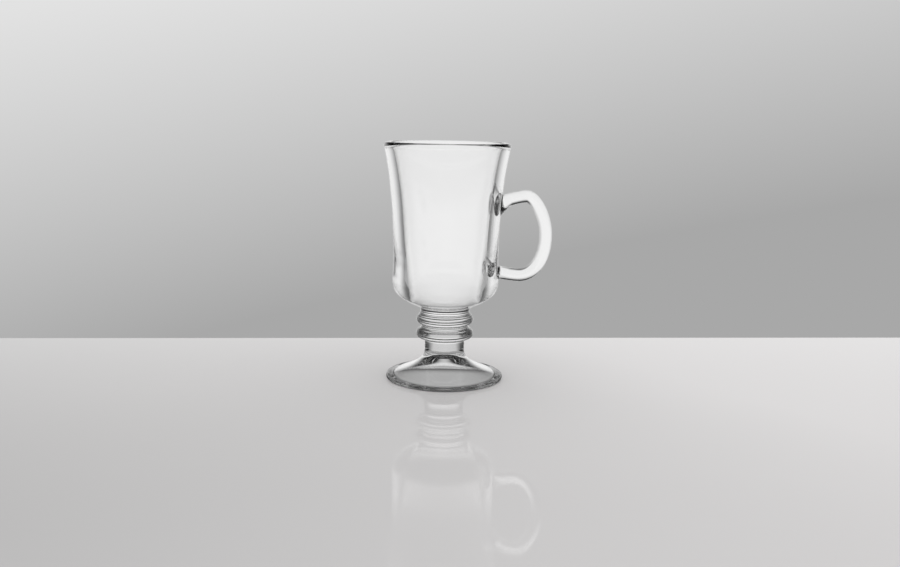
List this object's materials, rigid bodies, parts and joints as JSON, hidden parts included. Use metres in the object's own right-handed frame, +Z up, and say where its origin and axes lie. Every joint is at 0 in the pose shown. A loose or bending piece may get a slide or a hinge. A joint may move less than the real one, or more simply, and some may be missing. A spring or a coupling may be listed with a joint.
{
  "type": "irish coffee glass mug",
  "caption": "Footed clear-glass mug for hot drinks: a flared thick-walled bowl on a ringed stem and a hollow foot, with an ear handle fused to the wall.",
  "frame": {"origin": "on the bowl's axis, in the plane that the foot rests on", "axes": "+Z up along the bowl's axis, +X from the axis towards the handle"},
  "size_m": [0.1024, 0.0764, 0.1445],
  "materials": {
    "clear_glass": "clear pressed soda-lime glass, fire-polished smooth"
  },
  "bodies": {
    "root": {"bowl": "clear_glass", "handle": "clear_glass", "stem": "clear_glass", "foot": "clear_glass"}
  },
  "joints": []
}
